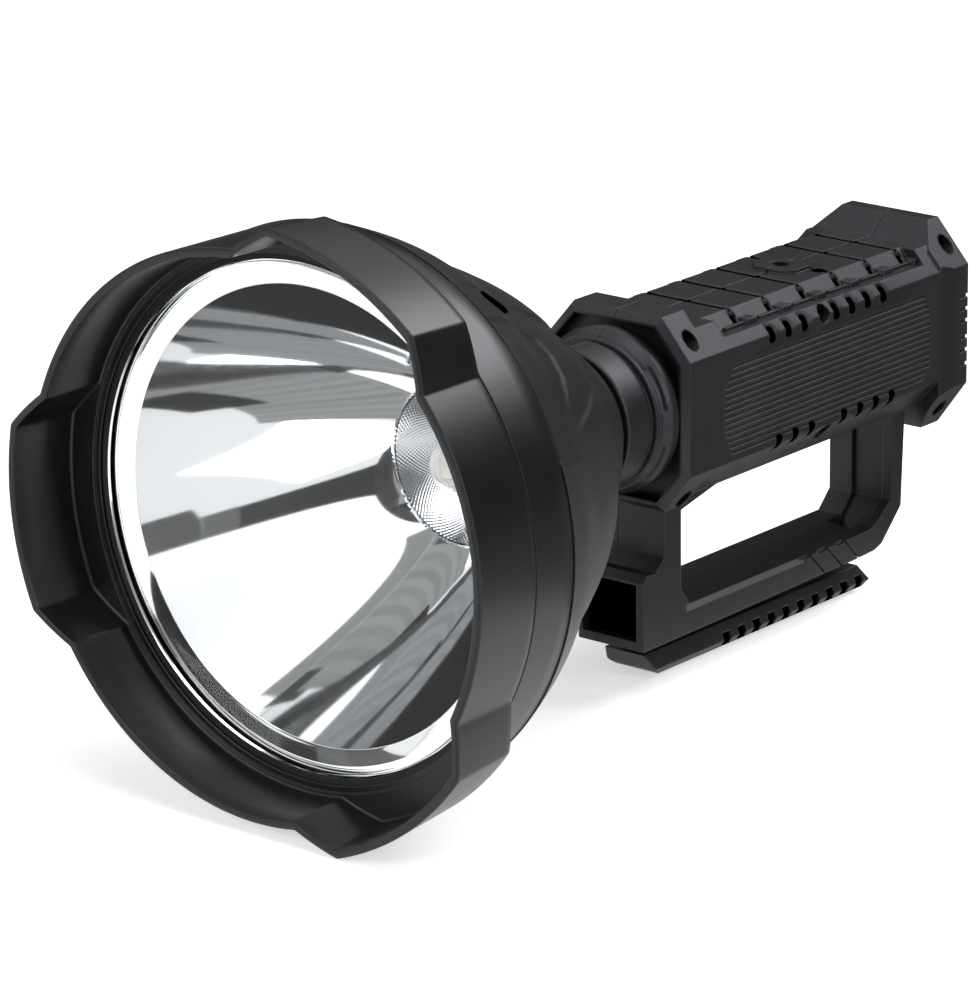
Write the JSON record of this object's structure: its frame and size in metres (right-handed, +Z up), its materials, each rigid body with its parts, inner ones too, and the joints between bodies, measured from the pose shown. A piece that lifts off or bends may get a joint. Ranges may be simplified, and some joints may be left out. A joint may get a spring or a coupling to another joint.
{
  "type": "handheld led searchlight",
  "caption": "Hand-held searchlight with a wide lobed bezel, deep reflector, round neck, ribbed battery housing, carrying handle and an accessory rail under it.",
  "frame": {"origin": "middle of the accessory rail's underside, on the plane where the two housing halves meet", "axes": "+Z up, the beam leaves along -Y, +X towards the side with the screw heads (the holder's left)"},
  "size_m": [0.1904, 0.3356, 0.1941],
  "materials": {
    "grained_black": "fine-grained black moulding",
    "satin_black": "smooth satin black moulding",
    "black_rubber": "matt rubber",
    "clear_lens": "clear polished",
    "reflector_chrome": "mirror-bright vacuum coating",
    "copper_post": "bare copper",
    "phosphor": "yellow phosphor",
    "circuit_board": "solder resist",
    "aluminium": "bare",
    "dark_screw": "black oxide",
    "brass_bush": "turned",
    "cell_sleeve": "heat-shrink sleeve",
    "inner_plastic": "plain moulding",
    "indicator": "translucent light pipe"
  },
  "bodies": {
    "lamp": {"bezel": "satin_black", "lens_gasket": "black_rubber", "lens": "clear_lens", "reflector": "reflector_chrome", "reflector_throat": "reflector_chrome", "led_pedestal": "copper_post", "led_chip": "phosphor", "led_dome": "clear_lens", "led_board": "circuit_board", "heat_sink": "aluminium", "head_shell": "grained_black", "shell_screw_1": "dark_screw", "shell_screw_2": "dark_screw", "shell_screw_3": "dark_screw", "neck_left": "grained_black", "neck_right": "grained_black", "housing_left": "grained_black", "housing_right": "grained_black", "case_screw_1": "dark_screw", "case_screw_2": "dark_screw", "case_screw_3": "dark_screw", "case_screw_4": "dark_screw", "case_screw_5": "dark_screw", "case_screw_6": "dark_screw", "top_insert": "brass_bush", "rail": "grained_black", "rail_screw_1": "dark_screw", "rail_screw_2": "dark_screw", "battery_cell_1": "cell_sleeve", "battery_cell_2": "cell_sleeve", "battery_cell_3": "cell_sleeve", "battery_cell_4": "cell_sleeve", "battery_plate_front": "inner_plastic", "battery_plate_rear": "inner_plastic", "driver_board": "circuit_board", "charge_board": "circuit_board", "rear_panel": "satin_black", "button_ring": "dark_screw", "switch_body": "inner_plastic", "charge_port": "aluminium", "flap_pin": "dark_screw", "indicator_lens": "indicator", "panel_screw_1": "dark_screw", "panel_screw_2": "dark_screw"},
    "button": {"power_button": "black_rubber"},
    "flap": {"port_flap": "black_rubber"}
  },
  "joints": [
    {"name": "power_press", "type": "slide", "parent": "lamp", "child": "button", "axis": [0, -1, 0], "range_m": [0, 0.0012], "stiffness_N_per_m": 500, "springref_m": -0.0006},
    {"name": "flap_hinge", "type": "hinge", "parent": "lamp", "child": "flap", "pos_m": [0, 0.0842, 0.0856], "axis": [1, 0, 0], "range_deg": [0, 120]}
  ]
}
